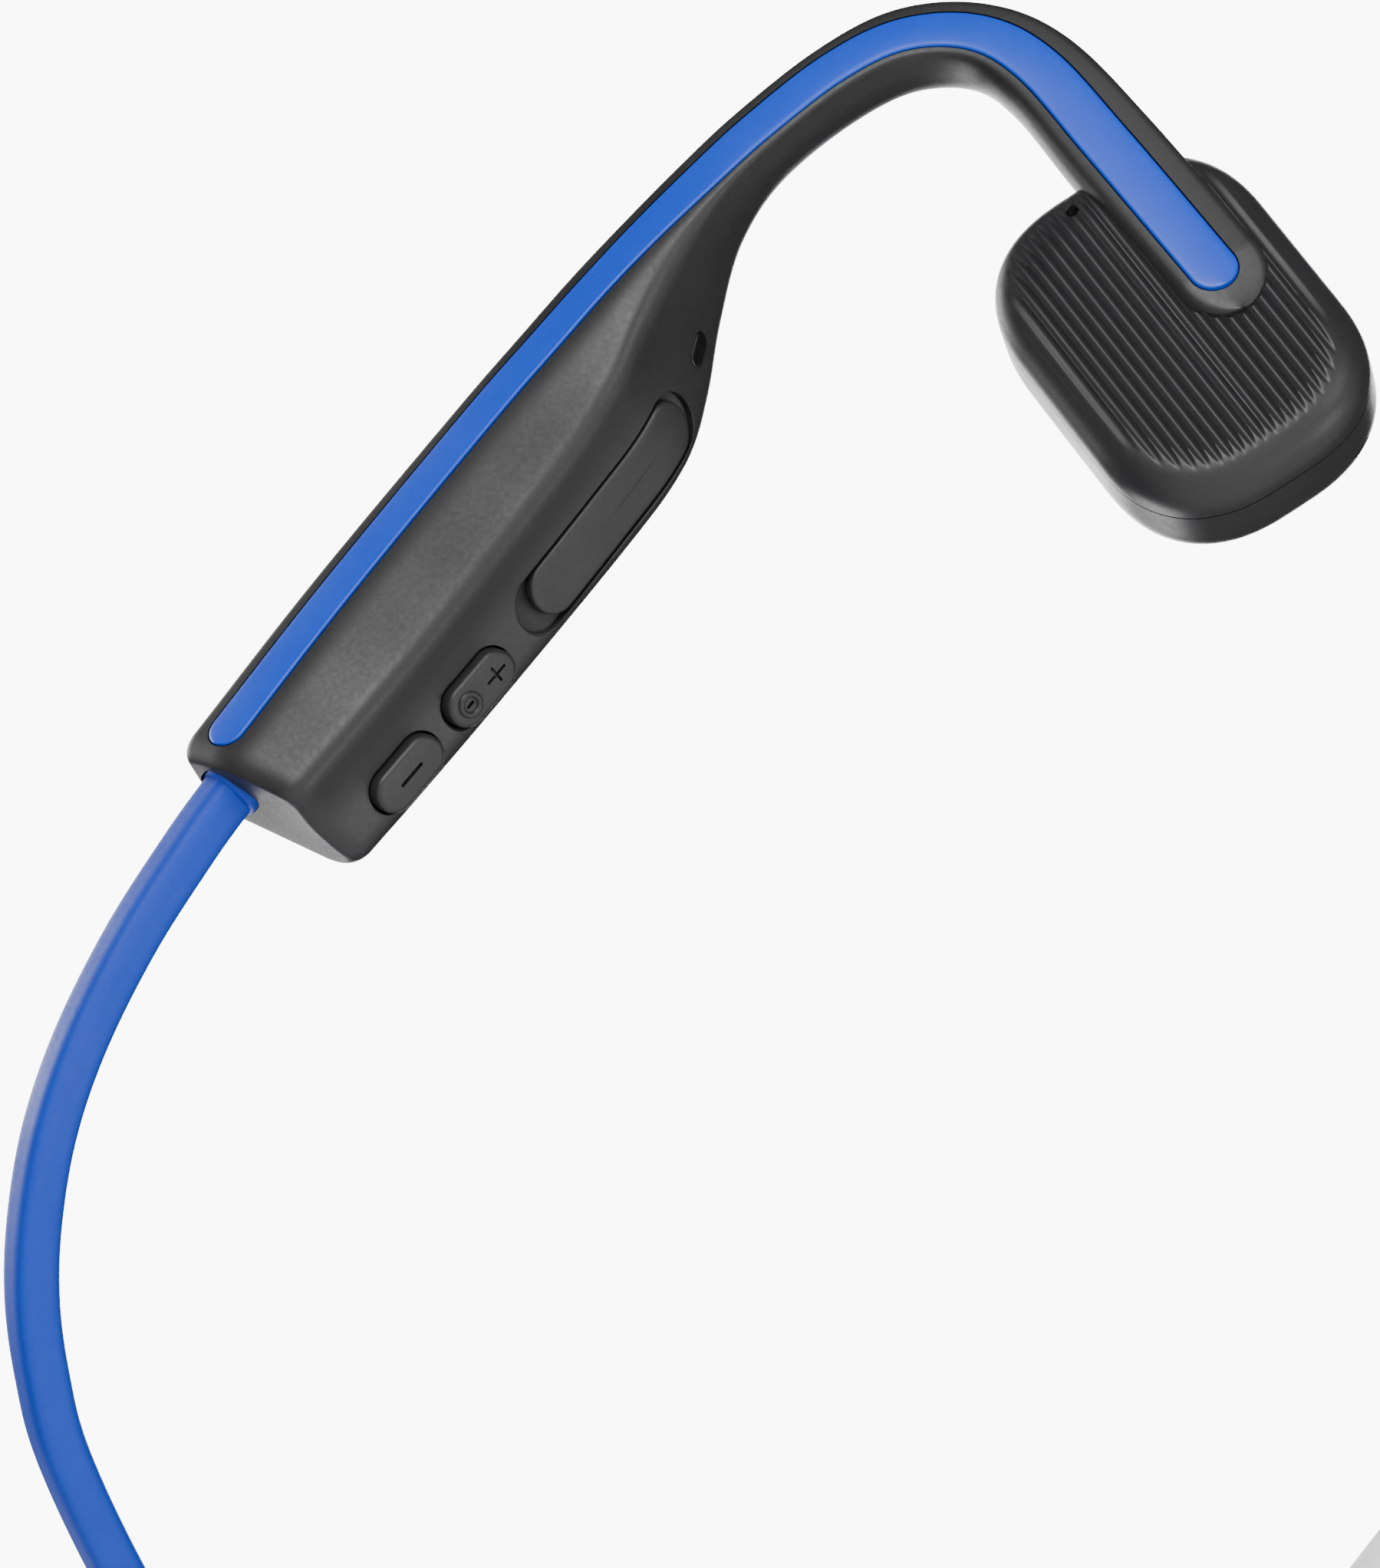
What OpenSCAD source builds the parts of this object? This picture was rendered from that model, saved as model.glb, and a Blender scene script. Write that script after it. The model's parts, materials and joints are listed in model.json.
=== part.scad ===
// Bone conduction headphones: two ear pods joined by a sprung neckband.
// A pod is a housing behind the ear, a hook over the ear and a transducer in front of it.
// A pod is drawn in its own frame: x points away from the head, y forward, z up.
// The headset is drawn in the band's plane and then tilted to the way it stands.

/* [Fit] */
// Half the distance between the places where the band enters the housings
half_width = 73; // [69:1:78]
// How far the band reaches behind the housings
band_depth = 52.2; // [48.2:0.5:57.2]
// Outward lean of each pod
pod_roll = 30; // [28:0.5:32]
// Forward tilt at which the headset stands on its transducers and its band
stand_tilt = 19.9; // [19:0.1:21]

/* [Band] */
// Thickness of the band sleeve
band_thick = 3.8; // [3.6:0.1:4]
// Height of the band sleeve
band_tall = 3.8; // [3.6:0.1:4.2]
// Turn of the band's section about its own line
band_twist = 2; // [0:1:6]
// Diameter of the spring wire in the band and in the hooks
wire_d = 1.0; // [0.8:0.1:1.2]
// Diameter of the cables in the band and in the hooks
cable_d = 0.9; // [0.7:0.1:1]

/* [Housing] */
// Wall of the housing
wall = 1.2; // [1:0.1:1.4]
// Depth of the parting plane between housing and inner cover
parting = -3.9; // [-4.1:0.1:-3.8]

/* [Transducer] */
// Width of a transducer
transducer_w = 22.6; // [21.6:0.1:24]
// Length of a transducer, along the arm
transducer_l = 31; // [30:0.1:33]
// Wall of the transducer's shells
transducer_wall = 1.1; // [0.9:0.1:1.3]
// Diameter of the driver's yoke
yoke_d = 13; // [11:0.5:13.5]

/* [Controls] */
// Length of a volume button cap
button_l = 7.0; // [6.5:0.1:7.6]
// Width of a volume button cap
button_w = 3.5; // [3.2:0.1:3.6]
// Height of a volume button cap above the ledge
button_h = 1.0; // [0.8:0.1:1.2]
// Travel of the buttons
button_travel = 0.5; // [0.3:0.1:0.6]
// Width of the charging port cover
port_w = 4.4; // [4.2:0.1:4.5]
// Gap round the moving pieces
gap = 0.2; // [0.15:0.05:0.25]

/* [Hidden] */

skin_col = [0.20, 0.20, 0.21];
key_col = [0.26, 0.26, 0.27];
accent_col = [0.16, 0.40, 0.85];
steel_col = [0.72, 0.73, 0.75];
copper_col = [0.80, 0.45, 0.22];
board_col = [0.05, 0.33, 0.18];
chip_col = [0.09, 0.09, 0.10];
foam_col = [0.12, 0.12, 0.13];
pouch_col = [0.78, 0.79, 0.80];

// Lowest point of the tilted headset below the band's plane, and the middle of its depth
stand_lift = 19.775;
stand_shift = -19.978;

// ---------- curves and lofts ----------

// Point at share u between b and c on the smooth curve through a, b, c and d
function curve_at(a, b, c, d, u) =
  0.5 * (2 * b + (c - a) * u + (2 * a - 5 * b + 4 * c - d) * u * u
         + (3 * b - a - 3 * c + d) * u * u * u);

// Smooth curve through rows of numbers, with the given steps from one row to the next
function smooth_rows(rows, steps) = [
  for (i = [0 : len(rows) - 2], k = [0 : steps - 1])
    curve_at(i == 0 ? 2 * rows[0] - rows[1] : rows[i - 1], rows[i], rows[i + 1],
             i == len(rows) - 2 ? 2 * rows[i + 1] - rows[i] : rows[i + 2], k / steps),
  rows[len(rows) - 1]
];

// One rounded corner at b, cut back towards a and c
function corner(a, b, c, cut, n) =
  let(p = b + (a - b) * min(cut / norm(a - b), 0.48),
      q = b + (c - b) * min(cut / norm(c - b), 0.48))
  [for (k = [0 : n]) let(u = k / n) p * pow(1 - u, 2) + b * 2 * u * (1 - u) + q * pow(u, 2)];

// Closed outline with every corner rounded
function rounded(points, cuts, n = 2) = [
  for (i = [0 : len(points) - 1])
    each corner(points[(i + len(points) - 1) % len(points)], points[i],
                points[(i + 1) % len(points)], cuts[i], n)
];

// Rounded rectangle of two half sizes
function round_rect(hx, hy, r, n = 3) =
  rounded([[hx, hy], [-hx, hy], [-hx, -hy], [hx, -hy]], [r, r, r, r] * 1.25, n);

// Direction of a path at ring i
function heading(path, i) =
  let(d = path[min(i + 1, len(path) - 1)] - path[max(i - 1, 0)]) d / norm(d);

// Solid through a list of rings that all have the same number of points
module loft(rings, flip = false) {
  m = len(rings[0]);
  last = len(rings) - 1;
  sides = [
    for (i = [0 : last - 1], j = [0 : m - 1]) let(k = (j + 1) % m)
      each [[i * m + j, i * m + k, (i + 1) * m + k], [i * m + j, (i + 1) * m + k, (i + 1) * m + j]]
  ];
  low = [for (j = [m - 1 : -1 : 0]) j];
  high = [for (j = [0 : m - 1]) last * m + j];
  faces = concat(sides, [low, high]);
  polyhedron([for (r = rings) each r],
             flip ? [for (f = faces) [for (k = [len(f) - 1 : -1 : 0]) f[k]]] : faces, convexity = 8);
}

// Keeps a shell and everything cut from it as one mesh, at its own size
module one_mesh() {
  resize([0, 0, 0]) children();
}

// ---------- placing ----------

// From the band's plane to the way the headset stands
module stand() {
  translate([0, stand_shift, stand_lift]) rotate([stand_tilt, 0, 0]) children();
}

// One pod, on the right or mirrored to the left
module pod(side) {
  stand() mirror([side == "left" ? 1 : 0, 0, 0])
    translate([half_width, 0, 0]) rotate([0, pod_roll, 0]) children();
}

// ---------- the pod's skin ----------

// Stations along the strip's centre line. A station holds
// y, z, top edge, rim depth, face depth, shoulder depth and drop, crease depth and drop,
// ledge edge depth and drop, inner side depth and drop, half the strip's width.
// Depths are along x, drops are measured from the strip's centre line across the path.
housing_stations = [
  [3.0, 1.35, 3.0, 2.9, 5.2, 4.8, -8.6, 0.8, -9.5, -3.4, -12.4, -5.7, -11.0, 1.7],
  [18, 2.2, 3.0, 2.9, 5.2, 4.8, -9.3, 0.8, -10.2, -3.5, -13.2, -5.8, -11.8, 1.7],
  [36, 2.7, 2.9, 2.9, 5.2, 4.8, -8.7, 0.9, -9.9, -3.75, -13.2, -5.9, -11.9, 1.7],
  [44, 2.65, 2.9, 3.0, 5.2, 4.8, -7.4, 0.9, -9.2, -3.75, -12.5, -5.7, -11.2, 1.65],
  [50, 2.55, 2.9, 3.1, 5.2, 4.8, -5.5, 1.2, -7.3, -3.5, -10.2, -5.1, -8.9, 1.6],
  [56, 2.2, 2.8, 3.4, 5.1, 4.7, -3.8, 1.6, -5.1, -2.8, -6.6, -3.9, -5.5, 1.6]
];
hook_stations = [
  [62, 1.6, 2.8, 3.7, 4.9, 4.5, -2.6, 1.9, -3.3, -1.7, -3.5, -2.7, -2.3, 1.6],
  [68, 0.8, 2.8, 3.9, 4.8, 4.4, -2.3, 1.8, -2.8, -1.2, -2.1, -2.1, -1.1, 1.6],
  [75.6, -0.9, 2.8, 4.0, 4.7, 4.3, -2.3, 1.6, -2.8, -1.2, -2.0, -1.9, -1.0, 1.6],
  [81, -3.7, 3.0, 4.1, 4.7, 4.3, -2.4, 1.5, -2.8, -1.2, -2.0, -1.8, -1.1, 1.6],
  [84.3, -8.5, 3.2, 4.1, 4.7, 4.2, -2.6, 1.5, -2.9, -1.0, -2.3, -1.6, -1.6, 1.7],
  [84.6, -14.4, 3.7, 4.1, 4.7, 4.2, -3.1, 1.5, -3.4, -0.8, -2.9, -1.3, -2.3, 1.85],
  [82, -23.5, 4.1, 4.1, 4.7, 4.2, -3.4, 1.5, -3.7, -0.6, -3.3, -1.0, -2.8, 1.95],
  [77.6, -37.5, 4.2, 4.1, 4.7, 4.2, -3.4, 1.5, -3.7, -0.6, -3.4, -0.8, -2.9, 1.95]
];
face_edge = -1.9;
steps = 2;
stations = smooth_rows(concat(housing_stations, hook_stations), steps);
line = [for (s = stations) [s[0], s[1]]];

// Across the path, towards the outside of the hook's bend
function across(i) = let(h = heading(line, i)) [-h[1], h[0]];

function skin_section(s) = rounded(
  [[s[11], s[2] - 0.5], [s[3], s[2]], [s[4], face_edge], [s[5], s[6]],
   [s[7], s[8]], [s[9], s[10]], [s[11], s[12]]],
  [2.4, 0.8, 2, 1.4, 1.4, 1.3, 1.8]);

function cavity_section(s) = rounded(
  [[s[11] + wall, s[2] - 0.5 - wall], [s[3] - 0.3, s[2] - wall], [s[4] - wall, face_edge],
   [s[5] - wall, s[6] + 1.1], [s[7] - 0.9, s[8] + 1.3], [s[9] + 0.2, s[10] + 1.8],
   [s[11] + wall, s[12] + 0.9]],
  [1.5, 0.5, 1, 0.8, 0.8, 0.8, 1], 1);

// A section of the pod, scaled about a centre, shifted along the path and leaning forward
function placed(section, i, scale_x = 1, scale_t = 1, centre = [0, 0], shift = 0, lean = 0) =
  let(a = across(i), h = heading(line, i))
  [for (p = section) let(x = centre[0] + (p[0] - centre[0]) * scale_x,
                         t = centre[1] + (p[1] - centre[1]) * scale_t,
                         f = shift - lean * t)
    [x, line[i][0] + t * a[0] + f * h[0], line[i][1] + t * a[1] + f * h[1]]];

rear_round = [[-2.1, 0.82], [-1.75, 0.91], [-1.1, 0.975]];
rear_lean = 0.09;
tip_r = 4.2;
tip_round = [0.35, 0.65, 0.88, 0.985];
rear_centre = [-0.5, -4];

function rear_rings(section) =
  [for (r = rear_round) placed(section, 0, r[1], r[1], rear_centre, r[0], rear_lean)];
function tip_rings(section, i) = [
  for (d = tip_round)
    placed(section, i, 1 - 0.12 * d, sqrt(1 - d * d), [0.5, 0], d * tip_r)
];

last_station = len(stations) - 1;
skin_rings = concat(
  rear_rings(skin_section(stations[0])),
  [for (i = [0 : last_station])
    placed(skin_section(stations[i]), i, lean = i == 0 ? rear_lean : 0)],
  tip_rings(skin_section(stations[last_station]), last_station));

cavity_end = 52;
cavity_rings = [
  for (i = [0 : last_station])
    if (stations[i][0] < cavity_end) placed(cavity_section(stations[i]), i)
];

module skin_solid() {
  loft(skin_rings, flip = true);
}

module cavity_solid() {
  loft(cavity_rings, flip = true);
}

// Half space on the head's side of the parting plane, along the housing only
module head_side() {
  translate([parting - 20, 5, -30]) cube([20, 58, 60]);
}

// ---------- along the skin: strip, wire and cable ----------

strip_thick = 0.9;
strip_proud = 0.1;
strip_first = -0.5;

// Depth of the facet that holds the strip, at a distance t from its centre line
function facet(s, t) = s[4] + (s[3] - s[4]) * (t - face_edge) / (s[2] - face_edge);

function strip_ring(i, hw, proud, shift = 0) =
  let(s = stations[i])
  placed([[facet(s, hw) + proud, hw], [facet(s, -hw) + proud, -hw],
          [facet(s, -hw) - strip_thick, -hw], [facet(s, hw) - strip_thick, hw]],
         i, shift = shift);

function strip_rings(proud) = concat(
  [for (d = [0.98, 0.85, 0.5])
    strip_ring(0, stations[0][13] * sqrt(1 - d * d), proud, strip_first + (1 - d) * 1.7)],
  [for (i = [1 : last_station]) strip_ring(i, stations[i][13], proud)],
  [for (d = [0.5, 0.85, 0.98])
    strip_ring(last_station, stations[last_station][13] * sqrt(1 - d * d), proud, d * 1.95)]);

module strip_solid(proud) {
  loft(strip_rings(proud), flip = true);
}

// Round bar along the hook, from one station to another, at depth x and drop t
module hook_bar(first, x, t, d) {
  loft([for (i = [first : last_station])
    placed([for (a = [0 : 60 : 300]) [x + d / 2 * cos(a), t - d / 2 * sin(a)]], i)], flip = true);
}

hook_first = 7;
module wire_bar() { hook_bar(hook_first, 0.4, 0.2, wire_d); }
module lead_bar() { hook_bar(hook_first, 2.3, -1.1, cable_d); }

// ---------- the ledge: buttons and port ----------

// The ledge runs from the crease to the ledge edge. Its middle, and the angle its face looks at
function ledge_station(y) =
  let(i = [for (k = [0 : last_station - 1]) if (stations[k][0] <= y && stations[k + 1][0] > y) k][0],
      u = (y - stations[i][0]) / (stations[i + 1][0] - stations[i][0]))
  stations[i] * (1 - u) + stations[i + 1] * u;
function ledge_point(y, share) =
  let(s = ledge_station(y))
  [s[7] + (s[9] - s[7]) * share, y, s[1] + s[8] + (s[10] - s[8]) * share];
ledge_turn = 180 - 32.5;
port_share = 0.49;
button_share = 0.54;

// Local z leaves the ledge, local x runs from the crease to the edge
module on_ledge(y, share = port_share) {
  translate(ledge_point(y, share)) rotate([0, ledge_turn, 0]) children();
}

module stadium(length, width, height, sides = 48) {
  linear_extrude(height) union() {
    square([width, length - width], center = true);
    for (e = [-1, 1]) translate([0, e * (length - width) / 2]) circle(d = width, $fn = sides);
  }
}

minus_y = 10.5;
plus_y = 19.3;
button_deep = 1.2;

hole_sides = 20;
module button_hole(y) {
  on_ledge(y, button_share) translate([0, 0, -3.5])
    stadium(button_l + 2 * gap, button_w + 2 * gap, 5, hole_sides);
}

module button_cap(y) {
  on_ledge(y, button_share) union() {
    translate([0, 0, -button_deep]) stadium(button_l, button_w, button_deep + button_h - 0.3);
    translate([0, 0, button_h - 0.3]) stadium(button_l - 0.5, button_w - 0.5, 0.3);
  }
}

port_first = 27.2;
port_hinge = 47.1;
port_barrel = 0.4;
port_thick = 0.8;
socket_y = 33.5;
nail_room = 1.9;

// Half the width of a long cover with round ends, at y
function cover_half(y, y0, y1, hw) =
  y < y0 + hw ? sqrt(max(pow(hw, 2) - pow(y0 + hw - y, 2), 0.04)) :
  y > y1 - hw ? sqrt(max(pow(hw, 2) - pow(y - y1 + hw, 2), 0.04)) : hw;

ledge_x = [cos(ledge_turn), 0, -sin(ledge_turn)];
ledge_z = [sin(ledge_turn), 0, cos(ledge_turn)];

function ledge_ring(y, hw, low, high) =
  let(m = ledge_point(y, port_share))
  [for (c = [[-hw, low], [hw, low], [hw, high], [-hw, high]])
    m + ledge_x * c[0] + ledge_z * c[1]];

module cover_body(y0, y1, hw, low, high) {
  stops = [each [y0, y0 + 0.3, y0 + 1.1], each [y0 + 2.3 : 3 : y1 - 3],
           each [y1 - 2.3, y1 - 1.1, y1 - 0.3, y1]];
  loft([for (y = stops) ledge_ring(y, cover_half(y, y0, y1, hw), low, high)]);
}

socket_l = 8.94;
socket_w = 3.26;
socket_deep = 5.2;
socket_room = 6.6;
socket_off = -1;
module socket_block(extra, deep, rise) {
  on_ledge(socket_y) translate([socket_off, 0, -port_thick - 0.1 - deep])
    linear_extrude(deep + rise)
      offset_free_stadium(socket_l + 2 * extra, socket_w + 2 * extra);
}

module offset_free_stadium(length, width) {
  square([width, length - width], center = true);
  for (e = [-1, 1]) translate([0, e * (length - width) / 2]) circle(d = width, $fn = 32);
}

// Pocket for the cover, its nail grip and the way in to the socket
module port_pocket() {
  cover_body(port_first - nail_room, port_hinge + port_barrel + 0.35, port_w / 2 + gap,
             -port_thick - 0.1, 2);
  socket_block(0.05, socket_room, 0.5);
}

light_y = 51.8;
module light_lens() {
  on_ledge(light_y) translate([0, 0, -1.3]) stadium(2.6, 1.3, 1.32);
}

// ---------- pod nodes ----------

boss_at = [[7, -0.5], [46.5, -1.2]];
module boss_posts() {
  for (b = boss_at) translate([-4.6, b[0], b[1]]) rotate([0, 90, 0])
    cylinder(d = 3.4, h = 9.8, $fn = 12);
}

module screw_holes() {
  for (b = boss_at) translate([-8, b[0], b[1]]) rotate([0, 90, 0]) {
    cylinder(d = 1.6, h = 9, $fn = 12);
    cylinder(d = 2.8, h = 3.4, $fn = 12);
  }
}

collar_l = 2.2;
collar_w = 4.8;
collar_end = 0.85;
module collar_block(extra = 0) {
  rotate([90, 0, 0]) rotate([0, 0, -pod_roll + band_twist])
    translate([0, 0, -collar_end - collar_l])
      linear_extrude(collar_l + extra) polygon(round_rect(collar_w / 2, collar_w / 2, 1.4));
}

module body_shell(side) {
  color(skin_col) pod(side) one_mesh() difference() {
    union() {
      difference() {
        skin_solid();
        cavity_solid();
      }
      intersection() {
        skin_solid();
        boss_posts();
      }
    }
    head_side();
    screw_holes();
    strip_solid(1.5);
    wire_bar();
    lead_bar();
    collar_block(3);
    if (side == "right") {
      button_hole(minus_y);
      button_hole(plus_y);
      port_pocket();
      light_lens();
    }
  }
}

module inner_cover(side) {
  color(skin_col) pod(side) one_mesh() difference() {
    intersection() {
      skin_solid();
      head_side();
      union() {
        difference() {
          head_side();
          cavity_solid();
        }
        boss_posts();
      }
    }
    screw_holes();
    collar_block(3);
    if (side == "right") socket_block(0.1, socket_deep + 0.1, 0);
  }
}

module accent_strip(side) {
  color(accent_col) pod(side) strip_solid(strip_proud);
}

module hook_wire(side) {
  color(steel_col) pod(side) wire_bar();
}

module hook_cable(side) {
  color(chip_col) pod(side) lead_bar();
}

module cover_screws(side) {
  color(steel_col) pod(side)
    for (b = boss_at) translate([-4.6, b[0], b[1]]) rotate([0, 90, 0]) {
      translate([0, 0, -0.8]) cylinder(d = 2.5, h = 0.8, $fn = 32);
      cylinder(d = 1.4, h = 5.4, $fn = 32);
    }
}

module end_collar(side) {
  color(accent_col) difference() {
    pod(side) collar_block();
    band_hole(side);
  }
}

// ---------- transducer ----------

transducer_at = [0, 73, -37.3];
arm_lean = -18.9;
seam_x = -0.2;
seal_t = 0.4;
pad_x = -8.4;

module transducer(side) {
  pod(side) translate(transducer_at) rotate([arm_lean, 0, 0]) children();
}

// Ring of the transducer's outline at depth x, moved in by an inset
function case_ring(x, inset) =
  [for (p = round_rect(transducer_w / 2 - inset, transducer_l / 2 - inset, 8.2 - inset * 0.4, 5))
    [x, p[0], p[1]]];
function case_rings(profile) = [for (p = profile) case_ring(p[0], p[1])];

// Depth and inset of the outline at each step, from the seam out to the flat face
cover_profile = [
  [seam_x + seal_t / 2, 0], [1.2, 0.1], [2.4, 0.65], [3.2, 1.7], [3.65, 3.1], [3.8, 4.8]
];
back_profile = [
  [seam_x - seal_t / 2, 0], [-3.2, 0], [-5.4, 0.5], [-6.9, 1.7], [-7.6, 3.4], [-7.7, 4.8]
];

module case_solid(profile, flip) {
  loft(case_rings(profile), flip = flip);
}

module mic_hole() {
  translate([-2, -1.2, 13]) rotate([0, 90, 0]) cylinder(d = 1, h = 8, $fn = 24);
}

multi_l = 9;
multi_w = 5.6;
multi_at = [0, -2.5, -6.5];
module multi_hole() {
  translate([0.5, multi_at[1], multi_at[2]]) rotate([0, 90, 0]) rotate([0, 0, 90])
    stadium(multi_l + 2 * gap, multi_w + 2 * gap, 6);
}

// Inside of a shell: its own profile moved in by the wall
module case_cavity(profile, reach, flip) {
  inner = [for (p = profile) if (p[1] < 3.5) [p[0] - sign(reach) * (p[1] > 0.5 ? transducer_wall : 0),
                                             p[1] + transducer_wall]];
  loft(case_rings(inner), flip = flip);
}

module transducer_cover(side) {
  color(skin_col) one_mesh() difference() {
    transducer(side) difference() {
      case_solid(cover_profile, true);
      case_cavity(concat([[seam_x - 0.1, 0]], cover_profile), 1, true);
      if (side == "right") mic_hole();
      if (side == "left") multi_hole();
    }
    pod(side) skin_solid();
  }
}

module back_shell(side) {
  color(skin_col) one_mesh() difference() {
    transducer(side) difference() {
      case_solid(back_profile, false);
      case_cavity(concat([[seam_x + 0.1, 0]], back_profile), -1, false);
      translate([-4.2, 5.6, -18]) cube([0.5, 1.8, 5]);
      translate([pad_x, 0, 0]) rotate([90, 0, 90])
        linear_extrude(1.4) polygon(round_rect(pad_w / 2, pad_l / 2, 5));
    }
    pod(side) skin_solid();
  }
}

module transducer_seal(side) {
  color(foam_col) one_mesh() difference() {
    transducer(side) translate([seam_x - seal_t / 2, 0, 0]) rotate([90, 0, 90])
      linear_extrude(seal_t) difference() {
        polygon(round_rect(transducer_w / 2 - 0.3, transducer_l / 2 - 0.3, 8));
        polygon(round_rect(transducer_w / 2 - 1.2, transducer_l / 2 - 1.2, 7.6));
      }
    pod(side) skin_solid();
  }
}

pad_w = 13;
pad_l = 20;
module contact_pad(side) {
  color(key_col) transducer(side) translate([pad_x, 0, 0]) rotate([90, 0, 90])
    linear_extrude(1.4) polygon(round_rect(pad_w / 2, pad_l / 2, 5));
}

driver_at = [0, -1.6, -4.2];
module driver(side) {
  transducer(side) translate(driver_at) rotate([0, 90, 0]) children();
}

plate_x = -5.5;
module spring_plate(side) {
  color(steel_col) driver(side) translate([0, 0, plate_x]) difference() {
    cylinder(d = yoke_d + 2.4, h = 0.25, $fn = 64);
    translate([0, 0, -1]) cylinder(d = 3, h = 3, $fn = 32);
    for (a = [0 : 90 : 270]) rotate([0, 0, a]) translate([yoke_d / 2 - 2, -2.2, -1]) cube([0.8, 4.4, 3]);
  }
}

coil_d = 9.6;
module voice_coil(side) {
  color(copper_col) driver(side) translate([0, 0, plate_x + 0.25]) difference() {
    cylinder(d = coil_d, h = 1.7, $fn = 64);
    translate([0, 0, -1]) cylinder(d = coil_d - 1.2, h = 4, $fn = 64);
  }
}

yoke_x = plate_x + 0.75;
yoke_h = 3.3;
module yoke(side) {
  color(steel_col) driver(side) translate([0, 0, yoke_x]) difference() {
    cylinder(d = yoke_d, h = yoke_h, $fn = 64);
    translate([0, 0, -1]) cylinder(d = coil_d + 1, h = yoke_h, $fn = 64);
  }
}

module magnet(side) {
  color(steel_col) driver(side) translate([0, 0, yoke_x])
    cylinder(d = coil_d - 2.2, h = yoke_h - 1, $fn = 64);
}

// ---------- band ----------

// Half of the band's line, as shares of the half width and of the depth
band_points = [
  [1, 0.055], [0.999, 0], [0.992, -0.09], [0.974, -0.238], [0.941, -0.393], [0.897, -0.521],
  [0.838, -0.632], [0.775, -0.718], [0.703, -0.787], [0.626, -0.843], [0.496, -0.902],
  [0.35, -0.95], [0.18, -0.987], [0.05, -0.9985], [0, -1]
];
right_end = 0.9;
left_end = 1.75;
nose_d = 2.6;
channel_over = 0.3;
band_line = [for (p = smooth_rows(band_points, 2)) [p[0] * half_width, p[1] * band_depth]];

// The half line, ending at a distance from the middle of the band
function half_line(end) = concat([for (p = band_line) if (p[0] > left_end + 1.5) p],
                                 [[end, -band_depth]]);

function band_ring(path, i, outline) =
  let(h = heading(path, i), out = [-h[1], h[0]])
  [for (p = outline)
    let(a = p[0] * cos(band_twist) - p[1] * sin(band_twist),
        b = p[0] * sin(band_twist) + p[1] * cos(band_twist))
    [path[i][0] + a * out[0], path[i][1] + a * out[1], b]];

// A path with both of its ends carried on by a length
function longer(path, more) =
  let(last = len(path) - 1)
  concat([path[0] - heading(path, 0) * more],
         [for (i = [1 : last - 1]) path[i]],
         [path[last] + heading(path, last) * more]);

module band_sweep(outline, end, more = 0) {
  path = longer(half_line(end), more);
  loft([for (i = [0 : len(path) - 1]) band_ring(path, i, outline)], flip = true);
}

module band_half(side) {
  stand() mirror([side == "left" ? 1 : 0, 0, 0]) children();
}

band_outline = round_rect(band_thick / 2, band_tall / 2, 1.1, 2);
function dot_outline(x, y, d) =
  [for (a = [10 : 45 : 325]) [x + d / 2 * cos(a), y + d / 2 * sin(a)]];

module spring_bar(more = 0) { band_sweep(dot_outline(0, 0.8, wire_d), left_end, more); }
module link_bar(more = 0) { band_sweep(dot_outline(0.1, -0.9, cable_d), left_end, more); }
module band_hole(side) { band_half(side) band_sweep(band_outline, left_end, 1); }

// The right half ends in a round nose that the left half bends about
module band_sleeve(side) {
  color(accent_col) band_half(side) union() {
    difference() {
      band_sweep(band_outline, side == "left" ? left_end : right_end);
      spring_bar(channel_over);
      link_bar(channel_over);
    }
    if (side == "right") translate([0, -band_depth, -1.3]) cylinder(d = nose_d, h = 2.6, $fn = 48);
  }
}

module band_spring(side) {
  color(steel_col) band_half(side) spring_bar();
}

module band_cable(side) {
  color(chip_col) band_half(side) link_bar();
}

// ---------- right pod: controls and electronics ----------

module plus_power_button() {
  color(key_col) pod("right") button_cap(plus_y);
}

module minus_button() {
  color(key_col) pod("right") button_cap(minus_y);
}

switch_h = 1.2;
module volume_switches() {
  color(steel_col) pod("right") for (y = [minus_y, plus_y])
    on_ledge(y, button_share) translate([0, 0, -button_deep - button_travel - 0.2 - switch_h]) {
      translate([-1.4, -1.8, 0]) cube([2.8, 3.6, switch_h]);
    }
}

module port_cover() {
  color(key_col) pod("right") union() {
    one_mesh() cover_body(port_first, port_hinge, port_w / 2, -port_thick, 0.1);
    on_ledge(port_hinge)
      translate([-0.9, 0, -port_thick / 2 + 0.05]) rotate([20, 0, 0]) rotate([0, 90, 0])
        cylinder(r = port_barrel, h = 1.8, $fn = 32);
  }
}

module charging_socket() {
  color(steel_col) pod("right") difference() {
    socket_block(0, socket_deep, -0.2);
    on_ledge(socket_y) translate([socket_off, 0, -port_thick - socket_deep + 0.6])
      linear_extrude(socket_deep) offset_free_stadium(8.34, 2.56);
  }
}

board_x = 1.6;
module circuit_board() {
  color(board_col) pod("right") translate([board_x, 11, -4.2]) cube([0.8, 31.5, 6.6]);
}

module board_chips() {
  color(chip_col) pod("right") for (c = [[13, 5, 4], [20, 6, 5], [29, 4, 3.6], [35, 5, 4]])
    translate([board_x + 0.8, c[0], -3.4]) cube([0.9, c[1], c[2]]);
}

module antenna() {
  color(copper_col) pod("right") translate([-2, 12, 2.9]) cube([3.2, 14, 0.3]);
}

module status_light() {
  color(chip_col) pod("right") light_lens();
}

module microphone() {
  color(steel_col) transducer("right") translate([0.4, -2.7, 10.9]) cube([1.1, 3, 2.4]);
}

// ---------- left pod: battery and multifunction button ----------

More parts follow.
